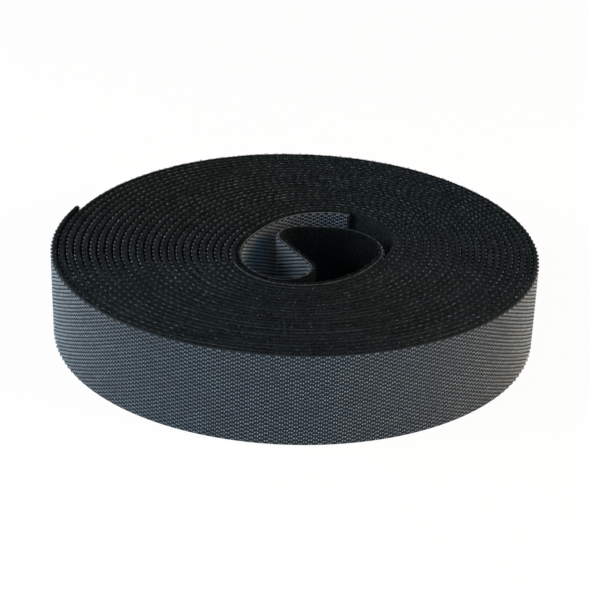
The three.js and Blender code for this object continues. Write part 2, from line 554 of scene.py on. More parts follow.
class WebSweep(ShapeTree):
    """Sweeps a web's section along the tape: plain for the film, rough for the nap's bed."""

    grain_detail = 2.0
    grain_middle = 0.5

    def __init__(self) -> None:
        """Builds the tree."""
        lengths = ("Back", "Face", "Low", "High", "Corner", "Fineness", "Depth")
        others = {"Corner Points": Input.COUNT, "Finish": Input.FINISH}
        super().__init__("web_sweep", (*lengths, "Grain", "Crease", "Tone"), others)
        given = self.given
        corners = (("Back", "Low"), ("Back", "High"), ("Face", "High"), ("Face", "Low"))
        feeds = {
            f"Point {i}": self.vector(X=given[x], Y=self.minus(given[y]))
            for i, (x, y) in enumerate(corners, 1)
        }
        box = self.get("GeometryNodeCurvePrimitiveQuadrilateral", feeds, mode="POINTS")
        feeds = {"Curve": box, "Count": given["Corner Points"], "Radius": given["Corner"]}
        eased = self.get("GeometryNodeFilletCurve", feeds, mode="POLY")
        feeds = {"Curve": eased, "Length": self.reckon("MAXIMUM", given["Fineness"], LEAST_FINENESS)}
        fine = self.get("GeometryNodeResampleCurve", feeds, mode="LENGTH")
        is_fine = self.reckon("GREATER_THAN", given["Fineness"], 0.0)
        feeds = {"Switch": is_fine, "False": eased, "True": fine}
        section = self.get("GeometryNodeSwitch", feeds, input_type="GEOMETRY")
        feeds = {"Curve": self.curve(), "Profile Curve": section, "Fill Caps": True}
        swept = self.get("GeometryNodeCurveToMesh", feeds)
        feeds = {"Scale": given["Grain"], "Detail": self.grain_detail}
        grain = self.reckon("SUBTRACT", self.get("ShaderNodeTexNoise", feeds), self.grain_middle)
        feeds = {0: self.get("GeometryNodeInputNormal"), "Scale": self.times(grain, given["Depth"])}
        rough = self.moved(swept, self.get("ShaderNodeVectorMath", feeds, operation="SCALE"))
        bend = self.get("GeometryNodeInputMeshEdgeAngle")
        feeds = {"Geometry": rough, "Shade Smooth": self.reckon("LESS_THAN", bend, given["Crease"])}
        shaded = self.get("GeometryNodeSetShadeSmooth", feeds, domain="EDGE")
        self.close(self.store(shaded, "tone", given["Tone"]))


class HookField(ShapeTree):
    """Stands hooks along a guide: staggered columns of rows, square to the film."""

    def __init__(self) -> None:
        """Builds the tree."""
        super().__init__(
            "hook_field",
            ("Top", "Row Pitch", "Stagger", "Jitter", "Least", "Most", "Lean"),
            dict.fromkeys(("Columns", "First", "Rows", "Seed"), Input.COUNT)
            | {"Stamp": Input.STAMP, "Finish": Input.FINISH, "Head Finish": Input.FINISH},
        )
        given = self.given
        feeds = {"Curve": self.curve(), "Count": given["Columns"]}
        columns = self.add("GeometryNodeCurveToPoints", feeds, mode="COUNT").outputs
        index = self.get("GeometryNodeInputIndex")
        odd = self.reckon("MODULO", self.reckon("ADD", index, given["First"]), 2.0)
        height = self.reckon("SUBTRACT", given["Top"], self.times(odd, given["Stagger"]))
        turned = usable(columns, "Rotation")
        tops = self.store(usable(columns, "Points"), "facing", turned, "QUATERNION")
        feeds = {"Count": given["Rows"], "Offset": self.vector(Z=self.minus(given["Row Pitch"]))}
        rows = self.get("GeometryNodeMeshLine", feeds, mode="OFFSET")
        feeds = {"Points": self.moved(tops, self.vector(Z=height)), "Instance": rows}
        grid = self.get("GeometryNodeInstanceOnPoints", feeds)
        real = self.get("GeometryNodeRealizeInstances", {"Geometry": grid})
        feet = self.get("GeometryNodeMeshToPoints", {"Mesh": real})
        placed = self.moved(feet, self.swings(given["Jitter"], Draw.SHIFT))
        facing = self.get("GeometryNodeInputNamedAttribute", {"Name": "facing"}, data_type="QUATERNION")
        tilt = self.swings(given["Lean"], Draw.TILT)
        self.close(self.stamped(placed, facing, tilt, 1.0), heads=True)


class LoopScatter(ShapeTree):
    """Scatters nap loops over a strip beside the guide, standing off the strip's face."""

    def __init__(self) -> None:
        """Builds the tree."""
        lengths = ("Near", "Near Height", "Far", "Far Height", "Density", "Least", "Most")
        super().__init__(
            "loop_scatter",
            (*lengths, "Lean", "Lightest"),
            {"Seed": Input.COUNT, "Stamp": Input.STAMP, "Finish": Input.FINISH},
        )
        given = self.given
        ends = {
            end: self.vector(X=given[side], Y=self.minus(given[f"{side} Height"]))
            for end, side in (("Start", "Near"), ("End", "Far"))
        }
        across = self.get("GeometryNodeCurvePrimitiveLine", ends, mode="POINTS")
        feeds = {"Curve": self.curve(), "Profile Curve": across}
        strip = self.get("GeometryNodeCurveToMesh", feeds)
        feeds = {"Mesh": strip, "Density": given["Density"], "Seed": given["Seed"]}
        kind = "GeometryNodeDistributePointsOnFaces"
        spread = self.add(kind, feeds, distribute_method="RANDOM").outputs
        tilt = self.vector(
            X=self.swing(given["Lean"], Draw.LEAN),
            Y=self.swing(given["Lean"], Draw.LEAN + 1),
            Z=self.random(0.0, math.tau, Draw.TURN),
        )
        points, facing = usable(spread, "Points"), usable(spread, "Rotation")
        self.close(self.stamped(points, facing, tilt, given["Lightest"]))


@dataclass(frozen=True)
class Patches:
    """A noise: its scale, what it is stretched to, which of its values are stretched, its detail."""

    scale: float
    reach: Point2 = WHOLE
    ends: Point2 = (0.3, 0.7)
    detail: float = 3.0


class FinishNodes(NodeMaker):
    """Adds shader nodes to one new material."""

    def __init__(self, name: str) -> None:
        """Makes the material, with its Principled shader at the output.

        Args:
            name: the material's name.
        """
        self.material = bpy.data.materials.new(name)
        self.material.use_nodes = True
        super().__init__(self.material.node_tree)
        self.shader = self.tree.nodes["Principled BSDF"]

    def place(self) -> Socket:
        """Returns the piece's own coordinates."""
        return usable(self.add("ShaderNodeTexCoord").outputs, "Object")

    def own(self, name: str) -> Socket:
        """Returns the piece's own attribute of that name."""
        return usable(self.add("ShaderNodeAttribute", attribute_name=name).outputs, "Fac")

    def spread(self, value: Socket, ends: Point2, reach: Point2 = WHOLE) -> Socket:
        """Returns a value stretched from its ends to a new reach."""
        return self.get("ShaderNodeMapRange", dict(enumerate((value, *ends, *reach))))

    def noise(self, look: Patches) -> Socket:
        """Returns an even noise over the piece, not stretched."""
        feeds = {"Vector": self.place(), "Scale": look.scale, "Detail": look.detail}
        return self.get("ShaderNodeTexNoise", feeds)

    def patches(self, look: Patches) -> Socket:
        """Returns a stretched noise over the piece."""
        return self.spread(self.noise(look), look.ends, look.reach)

    def streaks(self, look: Patches) -> Socket:
        """Lays a stretched noise along the tape alone.

        Args:
            look: the noise.

        Returns:
            Its value.
        """
        feeds = {"W": self.own("along"), "Scale": look.scale, "Detail": look.detail}
        noise = self.get("ShaderNodeTexNoise", feeds, noise_dimensions="1D")
        return self.spread(noise, look.ends, look.reach)

    def mix(self, share: Socket, first: Union[Colour, Socket], second: Union[Colour, Socket]) -> Socket:
        """Returns a colour between two."""
        a, b = (end if isinstance(end, Socket) else (*end, 1.0) for end in (first, second))
        return self.get("ShaderNodeMix", {"Factor": share, "A": a, "B": b}, data_type="RGBA")

    def set(self, label: str, value: Feed) -> None:
        """Sets or links one input of the shader."""
        self.feed(self.shader.inputs[label], value)

    def bump(self, look: Patches, depth: float, strength: float) -> None:
        """Roughens the surface by a noise."""
        feeds = {"Height": self.noise(look), "Distance": depth, "Strength": strength}
        self.set("Normal", self.get("ShaderNodeBump", feeds))

    def finish(self, colour: Feed, roughness: Feed, gloss: float) -> bpy.types.Material:
        """Sets the shader's main inputs.

        Args:
            colour: base colour.
            roughness: roughness, from 0 to 1.
            gloss: level of the shine.

        Returns:
            The material.
        """
        self.set("Base Color", colour)
        self.set("Roughness", roughness)
        self.set("Specular IOR Level", gloss)
        return self.material


@dataclass(frozen=True)
class HookHead:
    """Heads of the hooks that are seen: blue-grey glossy plastic, with painted highlights and shade."""

    # low is painted shade on the flanks and in the notches; dull to pale is the plastic by random tone.
    low: Colour = (0.014, 0.02, 0.027)
    dull: Colour = (0.13, 0.19, 0.246)
    pale: Colour = (0.222, 0.31, 0.39)
    patch: Patches = Patches(160.0, (0.8, 1.0))
    roughness: Patches = Patches(2600.0, (0.28, 0.4))
    gloss: float = 0.6

    def make(self) -> bpy.types.Material:
        """Builds the finish.

        Returns:
            The material.
        """
        nodes = FinishNodes("hook_head_plastic")
        tone = nodes.mix(nodes.own("tone"), self.dull, self.pale)
        # Painted light from the hook's corners, patchy: painted highlight on the crowns, painted shade
        # elsewhere.
        painted_light = nodes.times(nodes.own("painted_light"), nodes.patches(self.patch))
        colour = nodes.mix(painted_light, self.low, tone)
        return nodes.finish(colour, nodes.patches(self.roughness), self.gloss)


@dataclass(frozen=True)
class HookStem:
    """Sides of the hooks between the turns: near black, with painted glints in stretches."""

    dark: Colour = (0.012, 0.016, 0.019)
    painted_glint: Colour = (0.54, 0.7, 0.82)
    stretch: Patches = Patches(45.0, (0.35, 1.0), (0.38, 0.6), 2.0)
    single_ends: Point2 = (0.1, 0.8)
    single: Point2 = (0.4, 1.0)
    roughness: Patches = Patches(2600.0, (0.5, 0.7))
    gloss: float = 0.2

    def make(self) -> bpy.types.Material:
        """Builds the finish.

        Returns:
            The material.
        """
        nodes = FinishNodes("hook_stem_plastic")
        single = nodes.spread(nodes.own("tone"), self.single_ends, self.single)
        # Painted glints in stretches along the tape, on some hooks, where the painted light is high.
        painted_glint = nodes.times(nodes.streaks(self.stretch), single)
        colour = nodes.mix(nodes.times(painted_glint, nodes.own("painted_light")), self.dark, self.painted_glint)
        return nodes.finish(colour, nodes.patches(self.roughness), self.gloss)


@dataclass(frozen=True)
class HookFilm:
    """Film with the stems that stand on it: near black, its slit edges paler in stretches.

    A piece's tone darkens its face towards a painted shade, strongest on the pieces in the hollow, and
    lightens its slit edges in patches.
    """

    face: Colour = (0.0215, 0.0285, 0.0355)
    cloudy: Colour = (0.0315, 0.0395, 0.048)
    slit: Colour = (0.007, 0.009, 0.0105)
    # Paler stretches of the slit edges: wear, and a painted highlight where the edges face the lamps.
    worn_and_lit: Colour = (0.034, 0.044, 0.05)
    # Pale patches on the slit edges, as many as the piece's tone.
    bare: Colour = (0.15, 0.19, 0.21)
    # Painted shade that a piece's tone darkens the face towards.
    shade: Colour = (0.005, 0.0065, 0.008)
    half_width: float = 10.0 * MM
    slit_depth: float = 0.3 * MM
    slit_rim: float = 0.1 * MM
    cloud: Patches = Patches(900.0)
    wear_and_light: Patches = Patches(38.0, ends=(0.45, 0.75), detail=2.0)
    fray: Patches = Patches(700.0, (0.3, 1.0), (0.3, 0.68), 4.0)
    rim_patches: Patches = Patches(1100.0, (0.15, 1.0), (0.35, 0.6))
    roughness: Patches = Patches(1500.0, (0.45, 0.65))
    grain: Patches = Patches(3200.0)
    grain_depth: float = 0.03 * MM
    grain_strength: float = 0.4
    gloss: float = 0.02

    def make(self) -> bpy.types.Material:
        """Builds the finish.

        Returns:
            The material.
        """
        nodes = FinishNodes("hook_film")
        ground = nodes.mix(nodes.noise(self.cloud), self.face, self.cloudy)
        # Painted shade over the face, as strong as the piece's tone.
        ground = nodes.mix(nodes.own("tone"), ground, self.shade)
        height = usable(nodes.add("ShaderNodeSeparateXYZ", {0: nodes.place()}).outputs, "Z")
        away = nodes.reckon("ABSOLUTE", nodes.reckon("SUBTRACT", height, self.half_width))
        ends = (self.half_width - self.slit_depth, self.half_width - self.slit_rim)
        edge = nodes.spread(away, ends)
        # Stretches of wear and painted highlight along the slit edges.
        worn_and_lit = nodes.times(nodes.streaks(self.wear_and_light), nodes.patches(self.fray))
        # Pale patches along the slit edges, more of them the higher the piece's tone.
        bare = nodes.times(nodes.own("tone"), nodes.patches(self.rim_patches))
        rim = nodes.mix(bare, nodes.mix(worn_and_lit, self.slit, self.worn_and_lit), self.bare)
        nodes.bump(self.grain, self.grain_depth, self.grain_strength)
        return nodes.finish(nodes.mix(edge, ground, rim), nodes.patches(self.roughness), self.gloss)


@dataclass(frozen=True)
class LoopNap:
    """Napped loops: black and matt, with a faint cool sheen, strands of random lightness and painted
    glints on a few loops.
    """

    deep: Colour = (0.0022, 0.003, 0.0034)
    fair: Colour = (0.035, 0.049, 0.052)
    glint: Colour = (0.085, 0.115, 0.13)
    tuft: Patches = Patches(2200.0, ends=(0.34, 0.7), detail=4.0)
    cloud: Patches = Patches(260.0, (0.55, 1.0))
    strand: Point2 = (0.15, 1.8)
    glint_ends: Point2 = (0.95, 0.985)
    roughness: Patches = Patches(700.0, (0.82, 0.98))
    grain: Patches = Patches(4200.0, detail=4.0)
    grain_depth: float = 0.08 * MM
    grain_strength: float = 0.7
    sheen: float = 0.01
    sheen_roughness: float = 0.5
    gloss: float = 0.0

    def make(self) -> bpy.types.Material:
        """Builds the finish.

        Returns:
            The material.
        """
        nodes = FinishNodes("looped_nap")
        strand = nodes.spread(nodes.own("tone"), WHOLE, self.strand)
        light = nodes.times(nodes.times(nodes.patches(self.tuft), nodes.patches(self.cloud)), strand)
        # A few loops, by random tone, take a painted glint.
        few = nodes.spread(nodes.own("tone"), self.glint_ends)
        colour = nodes.mix(few, nodes.mix(light, self.deep, self.fair), self.glint)
        nodes.set("Sheen Weight", self.sheen)
        nodes.set("Sheen Roughness", self.sheen_roughness)
        nodes.bump(self.grain, self.grain_depth, self.grain_strength)
        return nodes.finish(colour, nodes.patches(self.roughness), self.gloss)


@dataclass(frozen=True)
class DoubleHook:
    """One moulded hook: a stem with two crooked arms along the tape, in millimetres.

    Lobe, crown, notch and cleft are shares of span and height, with the corner's painted light: painted
    highlight at 1, painted shade at 0.
    """

    grade: Grade
    foot: float = 0.32
    waist: float = 0.2
    span: float = 0.86
    height: float = 0.37
    thickness: float = 0.36
    waist_share: float = 0.46
    lobe: Corner = (0.5, 0.58, 0.45)
    crown: Corner = (0.32, 1.0, 1.0)
    notch: Corner = (0.0, 0.66, 0.3)
    cleft: Corner = (0.13, 0.42, 0.0)
    drawn_in: float = 0.8
    # Share of the painted light that the flanks keep, which paints shade on them.
    edge_light: float = 0.8
    stem_corners: int = 2

    def outline(self) -> list[Corner]:
        """Draws the side view, from one foot over the head to the other.

        Returns:
            Place along the tape, height and painted light of each corner.
        """
        lobe, crown, notch, cleft = (
            (u * self.span, h * self.height, light)
            for u, h, light in (self.lobe, self.crown, self.notch, self.cleft)
        )
        waist = (self.waist / 2, self.waist_share * self.height, 0.0)
        half = [(self.foot / 2, 0.0, 0.0), waist, lobe, crown]
        if self.grade is Grade.SHOWN:
            middle = [cleft, (-cleft[0], *cleft[1:])]
        else:
            middle = [notch]
        return half + middle + [(-u, h, light) for u, h, light in reversed(half)]

    def flank(self, corner: Corner) -> Corner:
        """Moves a corner of the side view to the rounded flanks.

        Args:
            corner: place along the tape, height and painted light.

        Returns:
            The corner, drawn in and with less painted light, for painted shade on the flanks, if it is
            on the head.
        """
        u, h, light = corner
        if light <= 0.0:
            return corner
        waist = self.waist_share * self.height
        return (u * self.drawn_in, waist + (h - waist) * self.drawn_in, light * self.edge_light)

    def stamp(self) -> Piece:
        """Builds the hook: height on X, along the tape on Z, across it on Y.

        Returns:
            The stamp.
        """
        middle = self.outline()
        rounded = self.grade is Grade.SHOWN
        flank = [self.flank(corner) for corner in middle] if rounded else middle
        side = self.thickness / 2
        rings = [(-side, flank)] + [(0.0, middle)] * rounded + [(side, flank)]
        points = [Vector((h, y, u)) * MM for y, ring in rings for u, h, _ in ring]
        lights = [light for _, ring in rings for _, _, light in ring]
        count = len(middle)
        faces = tube(len(rings), count)
        sides = range(len(faces) - 2)
        low, high = self.stem_corners, count - self.stem_corners - 2
        heads = [low <= i % count <= high for i in sides] + [False, False]
        smooth = [rounded for _ in sides] + [False, False]
        return make_stamp(f"hook_stamp_{self.grade.value}", points, faces, heads, lights, smooth)


@dataclass(frozen=True)
class NapLoop:
    """One standing loop of the nap, a bent thread, in millimetres."""

    width: float = 0.42
    height: float = 0.36
    thread: float = 0.1
    sides: int = 3
    steps: int = 3

    def stamp(self) -> Piece:
        """Builds the loop, which stands along Z.

        Returns:
            The stamp.
        """
        points = []
        for i in range(self.steps + 1):
            bow = math.pi * i / self.steps
            middle = Vector((-math.cos(bow) * self.width / 2, 0.0, math.sin(bow) * self.height))
            out = Vector((-math.cos(bow), 0.0, math.sin(bow)))
            for j in range(self.sides):
                around = math.tau * j / self.sides
                offset = out * math.cos(around) + Vector((0.0, math.sin(around), 0.0))
                points.append((middle + offset * self.thread / 2) * MM)
        faces = [face[::-1] for face in tube(self.steps + 1, self.sides)]
        lights, every = [1.0] * len(points), [True] * len(faces)
        return make_stamp("loop_stamp", points, faces, every, lights, [False] * len(faces))


def tube(rings: int, count: int) -> list[tuple[int, ...]]:
    """Returns the faces of a closed tube, its two ends last.

    Args:
        rings: how many rings of points it has.
        count: points in each ring.

    Returns:
        The faces, as places in the points.
    """
    sides = [
        (row + i, row + (i + 1) % count, row + count + (i + 1) % count, row + count + i)
        for row in range(0, (rings - 1) * count, count)
        for i in range(count)
    ]
    last = range((rings - 1) * count, rings * count)
    return sides + [tuple(reversed(range(count))), tuple(last)]


def make_stamp(
    name: str,
    points: Sequence[Vector],
    faces: Sequence[Sequence[int]],
    heads: Sequence[bool],
    lights: Sequence[float],
    smooth: Sequence[bool],
) -> Piece:
    """Makes a small shape for a tree to repeat.

    Args:
        name: the stamp's name.
        points: its points, in metres.
        faces: its faces, as places in points.
        heads: whether each face is on the head.
        lights: how much painted light each point has, from 0 to 1: painted highlight at 1, painted
            shade at 0.
        smooth: whether each face is shaded as part of a rounded form.

    Returns:
        The stamp, linked to the scene until it has been used.
    """
    mesh = bpy.data.meshes.new(name)
    mesh.from_pydata(points, [], faces)
    mesh.polygons.foreach_set("use_smooth", list(smooth))
    mesh.attributes.new("head", "BOOLEAN", "FACE").data.foreach_set("value", list(heads))
    # The painted light, read by the hook finishes.
    mesh.attributes.new("painted_light", "FLOAT", "POINT").data.foreach_set("value", list(lights))
    stamp = bpy.data.objects.new(name, mesh)
    bpy.context.scene.collection.objects.link(stamp)
    return stamp


@dataclass(frozen=True)
class Web:
    """Section of one web from its nap side to its hook side, and its mesh, in millimetres.

    Depth and grain make it rough. Edges that bend by more than crease, in radians, stay sharp.
    """

    back: float
    face: float
    low: float
    high: float
    corner: float
    coarse_step: float
    fine_step: float = 1.0
    fineness: float = 0.0
    corner_points: int = 1
    depth: float = 0.0
    grain: float = 1.0
    crease: float = 0.3


@dataclass(frozen=True)
class TapeSection:
    """Sizes of the tape's section and of what stands on its faces, in millimetres."""

    width: float = 20.0
    film: Web = Web(back=0.08, face=0.3, low=0.0, high=19.92, corner=0.03, coarse_step=2.2)
    nap: Web = Web(
        back=-0.56, face=0.08, low=0.2, high=20.1, corner=0.16, coarse_step=1.4, fine_step=0.7,
        fineness=0.55, corner_points=2, depth=0.22, grain=1300.0, crease=4.0,
    )
    pile: Web = Web(back=0.27, face=1.25, low=0.6, high=3.0, corner=0.16, coarse_step=2.2)
    column_pitch: float = 0.947
    row_pitch: float = 0.85
    rows: int = 23
    top_margin: float = 0.45
    buried_margin: float = 0.33
    hook_step: float = 0.8
    hook_jitter: float = 0.02
    hook_lean: float = 0.05
    hook_sizes: Point2 = (0.94, 1.05)
    loop_step: float = 1.5
    loop_lean: float = 0.5
    rim_sizes: Point2 = (0.58, 0.98)
    rim_lightest: float = 1.0
    rim_inset: float = 0.05
    top_rim_sink: float = 0.08
    lower_rim_sink: float = 0.12
    wall_sizes: Point2 = (0.8, 1.25)
    wall_lightest: float = 0.15
    wall_sink: float = 0.08
    wall_density: float = 3.0
    near_rim_density: float = 4.0
    top_rim_density: float = 6.0
    lower_rim_density: float = 1.0


@dataclass
class TapeMaker:
    """Holds the trees, stamps and finishes that every stretch of the tape is made with.

    The span of a piece is the lengths from the outer tip where it begins and ends.
    """

    route: TapeRoute
    section: TapeSection = TapeSection()

    def __post_init__(self) -> None:
        """Makes trees, stamps and finishes once."""
        self.sweep, self.field, self.scatter = WebSweep(), HookField(), LoopScatter()
        self.stamps = {grade: DoubleHook(grade).stamp() for grade in Grade}
        self.loop = NapLoop().stamp()
        self.head, self.stem = HookHead().make(), HookStem().make()
        self.backing, self.fibre = HookFilm().make(), LoopNap().make()

    def web(self, name: str, span: Point2, web: Web, tone: float, fine: bool = False) -> Piece:
        """Returns a stretch of one web.

        Args:
            name: the piece's name.
            span: where it begins and ends.
            web: which web of the section it is.
            tone: from 0 to 1, how light a nap is, or how much painted shade darkens a film's face and
                how many pale patches its edges have.
            fine: whether it is seen from near.

        Returns:
            The piece.
        """
        lengths = ("back", "face", "low", "high", "corner", "depth")
        values = {length.title(): getattr(web, length) * MM for length in lengths}
        values |= {
            "Fineness": web.fineness * MM if fine else 0.0,
            "Corner Points": web.corner_points,
            "Grain": web.grain,
            "Crease": web.crease,
            "Tone": tone,
            "Finish": self.backing if web is self.section.film else self.fibre,
        }
        guide = self.route.line(span, web.fine_step if fine else web.coarse_step)
        return self.sweep.shape(name, guide, values)

    def hooks(
        self, name: str, span: Point2, grade: Grade, rows: Optional[int] = None, lowest: bool = False
    ) -> Piece:
        """Returns a stretch of the hook face.

        Args:
            name: the piece's name.
            span: where it begins and ends.
            grade: how finely the hooks are shaped.
            rows: hooks in a column, or None for the whole width.
            lowest: whether the rows are counted from the lower edge.

        Returns:
            The piece.
        """
        size = self.section
        start, stop = math.ceil(span[0] / size.column_pitch), math.floor(span[1] / size.column_pitch)
        filled = (start * size.column_pitch, stop * size.column_pitch)
        count = size.rows if rows is None else rows
        buried = grade is Grade.BURIED
        top = size.width - (size.buried_margin if buried else size.top_margin)
        if lowest:
            top -= (size.rows - count) * size.row_pitch
        return self.field.shape(
            name,
            self.route.line(filled, size.hook_step, size.film.face),
            {
                "Columns": stop - start + 1,
                "First": start % 2,
                "Rows": count,
                "Top": top * MM,
                "Row Pitch": size.row_pitch * MM,
                "Stagger": size.row_pitch / 2 * MM,
                "Jitter": size.hook_jitter * MM,
                "Lean": size.hook_lean,
                "Least": size.hook_sizes[0],
                "Most": size.hook_sizes[1],
                "Seed": start % SEED_RANGE,
                "Stamp": self.stamps[grade],
                "Finish": self.stem if buried else self.backing,
                "Head Finish": self.backing if buried else self.head,
            },
        )

    def loops(
        self,
        name: str,
        span: Point2,
        strip: Sequence[Point2],
        density: float,
        sizes: Point2,
        lightest: float,
    ) -> Piece:
        """Returns loops over a strip beside the bond line.

        Args:
            name: the piece's name.
            span: where it begins and ends.
            strip: offset and height of the strip's two sides.
            density: loops on a square millimetre.
            sizes: least and greatest size of a loop.
            lightest: tone of the lightest loop, up to 1.

        Returns:
            The piece.
        """
        near, far = strip
        return self.scatter.shape(
            name,
            self.route.line(span, self.section.loop_step),
            {
                "Near": near[0] * MM,
                "Near Height": near[1] * MM,
                "Far": far[0] * MM,
                "Far Height": far[1] * MM,
                "Density": density / MM**2,
                "Least": sizes[0],
                "Most": sizes[1],
                "Lean": self.section.loop_lean,
                "Lightest": lightest,
                "Seed": int(span[0] * SEEDS_PER_MM + density * SEEDS_PER_DENSITY) % SEED_RANGE,
                "Stamp": self.loop,
                "Finish": self.fibre,
            },
        )

    def rim_loops(self, name: str, span: Point2, top: bool, density: float) -> Piece:
        """Makes the fuzz on one edge of the nap.

        Args:
            name: the piece's name.
            span: where it begins and ends.
            top: whether it is on the upper edge.
            density: loops on a square millimetre.

        Returns:
            The piece.
        """
        size, nap = self.section, self.section.nap
        height = nap.high - size.top_rim_sink if top else nap.low + size.lower_rim_sink
        strip = [(nap.back + size.rim_inset, height), (nap.face - size.rim_inset, height)]
        strip = strip if top else strip[::-1]
        return self.loops(name, span, strip, density, size.rim_sizes, size.rim_lightest)

    def wall_loops(self, name: str, span: Point2) -> Piece:
        """Makes the loops that stand on the nap's face.

        Args:
            name: the piece's name.
            span: where it begins and ends.

        Returns:
            The piece.
        """
        size, nap = self.section, self.section.nap
        strip = [(nap.back + size.wall_sink, height) for height in (nap.low, nap.high)]
        return self.loops(name, span, strip, size.wall_density, size.wall_sizes, size.wall_lightest)

    def clear(self) -> None:
        """Takes the stamps out of the scene once all is made."""
        for stamp in (*self.stamps.values(), self.loop):
            bpy.data.objects.remove(stamp)


@dataclass
class Stretch:
    """A stretch of the tape that moves as one, with its pieces."""

    maker: TapeMaker
    pieces: list[Piece] = field(default_factory=list, init=False)

    def keep(self, slot: Slot, *pieces: Piece) -> list[Piece]:
        """Notes finished pieces and reports their triangles.

        Args:
            slot: the material slot that they belong to; not used.
            pieces: the pieces.

        Returns:
            The pieces.
        """
        for piece in pieces:
            piece.data.calc_loop_triangles()
            LOG.info("%s: %d triangles", piece.name, len(piece.data.loop_triangles))
        self.pieces.extend(pieces)
        return list(pieces)

    def dress(
        self, name: str, span: Point2, film_shade_and_pale_rim: float, nap_tone: float
    ) -> tuple[Piece, Piece, list[Piece], list[Piece]]:
        """Makes what is seen from near: film and nap with all their hooks and loops.

        Args:
            name: the stretch's name within its pieces' names.
            span: lengths from the outer tip where it begins and ends.
            film_shade_and_pale_rim: how much painted shade darkens the film's face and how many pale
                patches its edges have, from 0 to 1.
            nap_tone: how light the nap is, from 0 to 1.

        Returns:
            The film, the nap's bed, the hooks and the loops.
        """
        maker, size = self.maker, self.maker.section
        film, *hooks = self.keep(
            Slot.HOOKS,
            maker.web(f"hook_film_{name}", span, size.film, film_shade_and_pale_rim, fine=True),
            maker.hooks(f"hooks_{name}", span, Grade.SHOWN),
        )
        bed, *loops = self.keep(
            Slot.NAP,
            maker.web(f"nap_bed_{name}", span, size.nap, nap_tone, fine=True),
            maker.wall_loops(f"loops_{name}", span),
            maker.rim_loops(f"fuzz_{name}_top", span, True, size.near_rim_density),
            maker.rim_loops(f"fuzz_{name}_lower", span, False, size.near_rim_density),
        )
        return film, bed, hooks, loops

    def declare(self, web: Piece, span: Point2, carried: Sequence[Piece]) -> None:
        """Takes a web, its span and what stands on it, and does nothing with them."""


@dataclass
class Winding(Stretch):
    """The wound tape with the curl, from the outer root to the inner root.

    The outer turn is measured at its mean radius, first_turn_inset within the outside. The pieces
    of the curl begin curl_lead before the tape leaves the wall.
    """

    first_turn_inset: float = 0.7
    curl_lead: float = 40.0
    outer_pieces: str = "abc"
    film_shade_and_pale_rim: float = 0.0
    nap_tone: float = 0.21
    pile_tone: float = 0.0
    # Painted shade on the curl's film face, with pale patches on its slit edges.
    curl_film_shade_and_pale_rim: float = 0.45
    curl_nap_tone: float = 0.0

    def build(self) -> None:
        """Makes the films, naps, hooks and loops that ride on the roll."""
        maker, size, marks = self.maker, self.maker.section, self.maker.route.marks
        root, leave, inner = marks[Mark.OUTER_ROOT], marks[Mark.LEAVE], marks[Mark.INNER_ROOT]
        shown = root + math.tau * (maker.route.outer_radius - self.first_turn_inset)
        curl = leave - self.curl_lead
        middle = (shown + curl) / 2
        wound, buried, bent = (root, curl), (shown, curl), (curl, inner)
        count = len(self.outer_pieces)
        cuts = [root + (shown - root) * i / count for i in range(count + 1)]
        film, *hooks = self.keep(
            Slot.HOOKS,
            maker.web("hook_film_winding", wound, size.film, self.film_shade_and_pale_rim),
            *(
                maker.hooks(f"hooks_outer_turn_{name}", (first, final), Grade.SHOWN)
                for name, first, final in zip(self.outer_pieces, cuts, cuts[1:])
            ),
            maker.hooks("hooks_top_edge", buried, Grade.BURIED, rows=1),
            maker.hooks("hooks_lower_edge", buried, Grade.BURIED, rows=1, lowest=True),
        )
        bed, *fuzz = self.keep(
            Slot.NAP,
            maker.web("nap_bed_winding", wound, size.nap, self.nap_tone),
            maker.web("nap_pile_winding", (shown, leave), size.pile, self.pile_tone),
            maker.rim_loops("fuzz_top_outer", (root, middle), True, size.top_rim_density),
            maker.rim_loops("fuzz_top_inner", (middle, curl), True, size.top_rim_density),
            maker.rim_loops("fuzz_lower", wound, False, size.lower_rim_density),
        )
        bow, lining, curl_hooks, curl_loops = self.dress(
            "curl", bent, self.curl_film_shade_and_pale_rim, self.curl_nap_tone
        )
        for piece in self.pieces:
            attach(piece, Body.ROLL.value)
        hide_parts("hook_tape_winding")
        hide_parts("loop_tape_winding")
        self.declare(film, wound, hooks)
        self.declare(bow, bent, curl_hooks)
        self.declare(bed, wound, fuzz)
        self.declare(lining, bent, curl_loops)


@dataclass
class FreeEnd(Stretch):
    """A free end of the tape, which bends away from the roll over a short reach from its root."""

    body: Body
    root: Mark
    tip: Mark
    reach: float
    film_shade_and_pale_rim: float
    nap_tone: float

    def build(self) -> None:
        """Makes the end's pieces, bakes their transforms into their meshes and hides the end's imported
        tape.
        """
        route, name = self.maker.route, self.body.value
        root, tip = route.marks[self.root], route.marks[self.tip]
        span = (min(root, tip), max(root, tip))
        film, bed, hooks, loops = self.dress(name, span, self.film_shade_and_pale_rim, self.nap_tone)
        bent = root + math.copysign(self.reach, tip - root)
        middle = self.maker.section.width / 2
        start, end = (route.point(place, route.hook_face, middle) for place in (root, bent))
        for piece in self.pieces:
            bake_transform(piece)
        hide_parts(f"hook_tape_{name}")
        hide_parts(f"loop_tape_{name}")
        self.declare(film, span, hooks)
        self.declare(bed, span, loops)


@dataclass(frozen=True)
class Lamp:
    """A soft square lamp, aimed at the roll, in metres and watts."""

    name: str
    place: tuple[float, float, float]
    size: float
    power: float
    colour: Colour

    def build(self, target: Vector) -> None:
        """Makes the lamp.

        Args:
            target: what it is aimed at.
        """
        data = bpy.data.lights.new(self.name, "AREA")
        data.shape = "SQUARE"
        data.size = self.size
        data.energy = self.power
        data.color = self.colour
        lamp = bpy.data.objects.new(self.name, data)
        lamp.location = self.place
        lamp.rotation_mode = "QUATERNION"
        lamp.rotation_quaternion = (target - Vector(self.place)).to_track_quat("-Z", "Y")
        bpy.context.scene.collection.objects.link(lamp)


